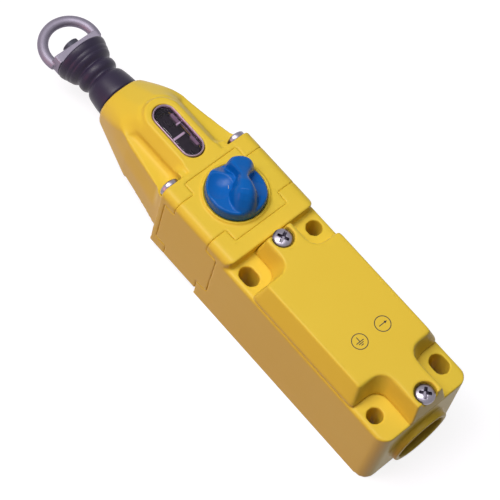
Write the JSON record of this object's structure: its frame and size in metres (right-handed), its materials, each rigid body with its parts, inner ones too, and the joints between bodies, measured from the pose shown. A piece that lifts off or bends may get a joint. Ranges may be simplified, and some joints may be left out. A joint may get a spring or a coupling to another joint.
{
  "type": "rope pull switch",
  "caption": "Rope pull safety switch: drafted die-cast housing with a sprung pull shaft and eye, rubber boot, position window and turning reset knob.",
  "frame": {"origin": "centre of the four fixing holes on the rear mounting face", "axes": "+X along the pull direction towards the eye, +Y to the left of a viewer who faces the cover with the eye up, +Z out of the cover"},
  "size_m": [0.1887, 0.04, 0.0482],
  "materials": {
    "housing": "gloss",
    "seal_rubber": "matt",
    "screws": "bright plated",
    "lens": "clear",
    "indicator": "matt",
    "indicator_line": "matt",
    "steel": "ground",
    "bronze": "turned",
    "spring_steel": "drawn wire",
    "boot_rubber": "matt moulded",
    "eye_metal": "plated, satin",
    "knob": "satin moulded",
    "contact_plastic": "matt",
    "carrier_plastic": "matt",
    "contact_brass": "stamped"
  },
  "bodies": {
    "housing": {"base_housing": "housing", "base_cover": "housing", "cover_gasket": "seal_rubber", "cover_screws": "screws", "middle_block": "housing", "joint_gaskets": "seal_rubber", "head_housing": "housing", "body_screws": "screws", "window_seal": "seal_rubber", "window_lens": "lens", "shaft_bush": "bronze", "inner_bush": "bronze", "shaft_seal": "seal_rubber", "spring_seat": "steel", "main_spring": "spring_steel", "rubber_boot": "boot_rubber", "knob_seal": "seal_rubber", "contact_block": "contact_plastic", "block_screws": "screws", "fixed_contacts": "contact_brass", "terminal_screws": "screws", "earth_clamp": "steel", "earth_screw": "screws"},
    "shaft": {"pull_shaft": "steel", "spring_collar": "steel", "collar_pin": "steel", "indicator_slide": "indicator", "indicator_line": "indicator_line", "lock_rings": "steel", "boot_washer": "steel", "eye_nut": "eye_metal", "contact_carrier": "carrier_plastic", "contact_bridges": "contact_brass"},
    "knob": {"reset_knob": "knob", "knob_spindle": "steel", "reset_cam": "steel"},
    "latch": {"latch_slide": "steel", "latch_dog": "steel"}
  },
  "joints": [
    {"name": "shaft_pull", "type": "slide", "parent": "housing", "child": "shaft", "axis": [1, 0, 0], "range_m": [-0.004, 0.006], "stiffness_N_per_m": 2000, "deforming": ["main_spring", "rubber_boot"]},
    {"name": "knob_turn", "type": "hinge", "parent": "housing", "child": "knob", "pos_m": [0.05355, 0, 0.0372], "axis": [0, 0, 1], "range_deg": [0, 57]},
    {"name": "latch_shift", "type": "slide", "parent": "housing", "child": "latch", "axis": [0, 1, 0], "range_m": [0, 0.00287]}
  ],
  "couplings": [
    {"joint": "latch_shift", "follows": "knob_turn", "m_per_rad": 0.00288}
  ]
}
